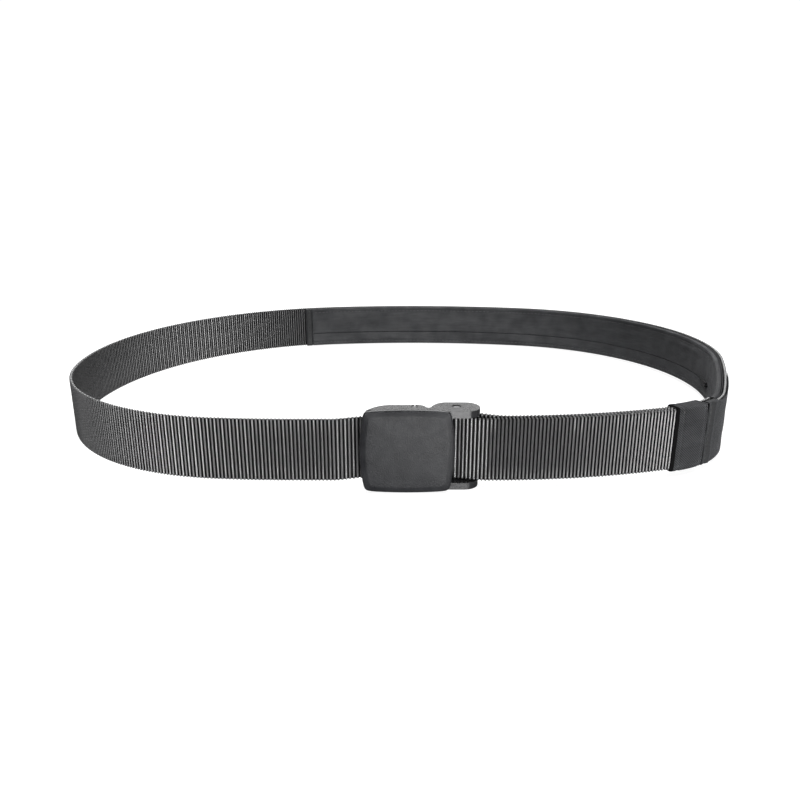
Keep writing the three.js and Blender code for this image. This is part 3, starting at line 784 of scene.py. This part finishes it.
def zip_side(side, sign):
    """One half of the zip: its tape and the loops of its coil."""
    s = spaced(*ZIP, 2.0)[:, None]
    near, far = sign * 2.0, sign * 5.9
    low, high = sorted((ZIP_HEIGHT + near, ZIP_HEIGHT + far))
    section = rounded_rectangle(3.31, 3.58, low, high, 0.12, 0.8)
    node = f"zip_tape_{side}"
    ring_skin(node + "_woven", s, section[:, 0][None], section[:, 1][None], TAPE, "capped", [node])

    turns = int((ZIP[1] - ZIP[0]) / COIL_PITCH) - 1
    t = np.arange(turns * POINTS_PER_TURN + 1) / POINTS_PER_TURN
    angle = 2 * math.pi * t
    along = ZIP[0] + 0.6 + (t + (0.5 if sign > 0 else 0)) * COIL_PITCH
    height = ZIP_HEIGHT + sign * (1.0 - 0.72 * np.cos(angle))
    depth = 3.75 - 0.28 * np.sin(angle)
    line = in_frame(plan(along, depth), height)
    node = f"zip_coil_{side}"
    tube(node + "_wound", line, COIL_WIRE * MM, COIL, [node])


def tube(name, line, radius, look, replaced, sides=5):
    """A round wire along a line of points, in metres."""
    tangent = np.gradient(line, axis=0)
    tangent /= np.linalg.norm(tangent, axis=1, keepdims=True)
    ring_side = np.cross(tangent, [0.31, 0.17, 0.93])
    ring_side /= np.linalg.norm(ring_side, axis=1, keepdims=True)
    other = np.cross(tangent, ring_side)
    angles = np.arange(sides) * 2 * math.pi / sides
    across, up = np.cos(angles)[None, :, None], np.sin(angles)[None, :, None]
    points = line[:, None] + radius * (across * ring_side[:, None] + up * other[:, None])
    skin(name, points, np.zeros_like(points), look, "capped", replaced)


zip_side("upper", 1)
zip_side("lower", -1)

# ---------- hard pieces with softened edges ----------


def softened(node, look, width, body, segments=3, angle=35):
    """Stands for a CAD node with its sharp edges rounded off."""
    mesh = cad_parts[node].data.copy()
    work = bmesh.new()
    work.from_mesh(mesh)
    bmesh.ops.remove_doubles(work, verts=work.verts, dist=1e-6)
    bmesh.ops.dissolve_limit(work, angle_limit=math.radians(0.5), verts=work.verts, edges=work.edges)
    work.to_mesh(mesh)
    work.free()
    tidy_normals(mesh, angle)
    piece = add_object(node + "_finished", mesh, *look, body, node)
    bevel = piece.modifiers.new("edges", "BEVEL")
    bevel.width = width * MM
    bevel.segments = segments
    bevel.limit_method = "ANGLE"
    bevel.angle_limit = math.radians(angle)
    bevel.harden_normals = True


softened("buckle_frame", FRAME_PLASTIC, 0.5, "belt")
softened("cam_lever", FRAME_PLASTIC, 0.2, "cover", 2)
softened("cover_pivot_pin", PIN_STEEL, 0.25, "belt")
softened("guide_pin", PIN_STEEL, 0.25, "belt")
softened("anchor_pin", PIN_STEEL, 0.3, "belt")
softened("zip_slider", ZIP_METAL, 0.08, "slider", 2)
softened("zip_pull_tab", ZIP_METAL, 0.15, "pull_tab", 2)
softened("zip_stop_closed", ZIP_METAL, 0.2, "belt", 2)
softened("zip_stop_open", ZIP_METAL, 0.2, "belt", 2)

# ---------- cover ----------

COVER_CORNER = 2.8
COVER_BOW = {"side": 1.5, "end": 0.6}
# From the back to the flat middle: how far in from the outline, and depth behind the foremost face.
COVER_PROFILE = [
    (1.6, 2.8), (0.5, 2.8), (0.12, 2.65), (0, 2.35), (0, 1.75), (0.1, 1.42), (0.36, 1.16), (0.75, 0.98),
    (1.5, 0.76), (2.2, 0.54), (2.5, 0.46), (2.8, 0.4), (3.2, 0.36), (5, 0.28), (8, 0.14), (11, 0.05), (14, 0),
]
COVER_RIM_RINGS = (2, 7)  # the rounded edge between these rings is rubbed shiny


def cover_outline(inset, half_width, half_height):
    """Rounded rectangle with swelling sides, starting low on its right side."""
    radius = max(COVER_CORNER - inset, 1.8)
    wide, tall = half_width - inset - COVER_BOW["side"], half_height - inset - COVER_BOW["end"]
    points = []
    for start in (0, 90, 180, 270):
        turn = math.radians(start)
        across, along = (wide, tall) if start % 180 == 0 else (tall, wide)
        bow = COVER_BOW["side"] if start % 180 == 0 else COVER_BOW["end"]
        reach = along - radius
        for t in np.linspace(-1, 1, 13):
            u, v = across + bow * (1 - t * t), reach * t
            points.append((u * math.cos(turn) - v * math.sin(turn), u * math.sin(turn) + v * math.cos(turn)))
        for degrees in (18, 36, 54, 72):
            angle = math.radians(degrees)
            u, v = across - radius + radius * math.cos(angle), reach + radius * math.sin(angle)
            points.append((u * math.cos(turn) - v * math.sin(turn), u * math.sin(turn) + v * math.cos(turn)))
    points = np.array(points)
    for _ in range(3):
        points = 0.5 * points + 0.25 * (np.roll(points, 1, axis=0) + np.roll(points, -1, axis=0))
    return points


def cover_plate():
    low, high = (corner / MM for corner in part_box("cover_plate"))
    middle, size = (low + high) / 2, high - low
    rings = []
    for inset, depth in COVER_PROFILE:
        outline = cover_outline(inset, size.x / 2, size.z / 2)
        back = np.full(len(outline), low.y + depth)
        rings.append(np.stack([middle.x + outline[:, 0], back, middle.z + outline[:, 1]], 1))
    points = np.array(rings) * MM
    plate = skin("cover_plate_finished", points, np.zeros_like(points), COVER_PLASTIC,
                 replaced=["cover_plate"], body="cover")
    plate.data.materials.append(COVER_RIM[0])
    around = points.shape[1]
    rim = [COVER_RIM_RINGS[0] <= ring < COVER_RIM_RINGS[1] for ring in range(len(COVER_PROFILE) - 1)]
    plate.data.polygons.foreach_set("material_index", [*np.repeat(rim, around).astype(int), 0, 0])


cover_plate()

# ---------- floor, light and camera ----------


FLOOR_RADIUS = 0.62
FLOOR_SIDES = 96


def floor():
    """A white disc that shows to the camera only, so the lights below it reach the belt."""
    look = Look("floor_white", Roughness=0.9, Base_Color=(0.3, 0.3, 0.3, 1), Emission_Color=(1, 1, 1, 1),
                Emission_Strength=0.88)
    mesh = bpy.data.meshes.new("floor")
    turns = [2 * math.pi * k / FLOOR_SIDES for k in range(FLOOR_SIDES)]
    rim = [(FLOOR_RADIUS * math.cos(a), FLOOR_RADIUS * math.sin(a), 0) for a in turns]
    mesh.from_pydata(rim, [], [tuple(range(FLOOR_SIDES))])
    mesh.materials.append(look.material)
    ground = bpy.data.objects.new("floor", mesh)
    ground.location.z = -0.0002
    ground.visible_diffuse = False
    ground.visible_glossy = False
    ground.visible_shadow = False
    bpy.context.scene.collection.objects.link(ground)


def softbox(name, location, target, size, power):
    light = bpy.data.lights.new(name, "AREA")
    light.shape = "RECTANGLE"
    light.size, light.size_y = size
    light.energy = power
    lamp = bpy.data.objects.new(name, light)
    lamp.location = location
    lamp.rotation_euler = (Vector(target) - Vector(location)).to_track_quat("-Z", "Y").to_euler()
    bpy.context.scene.collection.objects.link(lamp)


def surround(seen, lighting):
    """A white surround: one brightness for the camera and one for lighting the object."""
    world = bpy.data.worlds.new("surround")
    world.use_nodes = True
    tree = world.node_tree
    path = tree.nodes.new("ShaderNodeLightPath")
    strength = tree.nodes.new("ShaderNodeMapRange")
    strength.inputs["To Min"].default_value = lighting
    strength.inputs["To Max"].default_value = seen
    tree.links.new(path.outputs["Is Camera Ray"], strength.inputs["Value"])
    tree.links.new(strength.outputs[0], tree.nodes["Background"].inputs["Strength"])
    tree.nodes["Background"].inputs["Color"].default_value = (1, 1, 1, 1)
    bpy.context.scene.world = world


CAMERA_BACK = 309.6  # in front of the webbing's front face
CAMERA_HEIGHT = 143.9
CAMERA_PITCH = 18.17
camera = bpy.data.objects.new("camera", bpy.data.cameras.new("camera"))
camera.data.lens = 33.75
camera.data.sensor_width = 36
camera.location = Vector((SHIFT[0], SHIFT[1] - CAMERA_BACK, CAMERA_HEIGHT)) * MM
camera.rotation_euler = (math.radians(90 - CAMERA_PITCH), 0, 0)
bpy.context.scene.collection.objects.link(camera)
bpy.context.scene.camera = camera

floor()
surround(1.05, 0.12)
softbox("front_light", (0.1, -1.2, 0.3), (0, -0.1, 0.02), (1.8, 0.34), 10)
softbox("table_light", (0.22, -1.0, -0.18), (0, -0.13, 0.02), (0.8, 0.3), 16.5)
softbox("left_table_light", (-0.95, 0.5, -0.2), (-0.18, 0, 0.02), (0.7, 0.4), 3)
softbox("back_light", (0, 1.2, 0.62), (0, 0, 0), (1.4, 0.3), 5)
softbox("top_light", (0.05, 0.1, 1.3), (0, 0, 0), (1.4, 1.2), 34)
bpy.context.scene.view_settings.view_transform = "Standard"
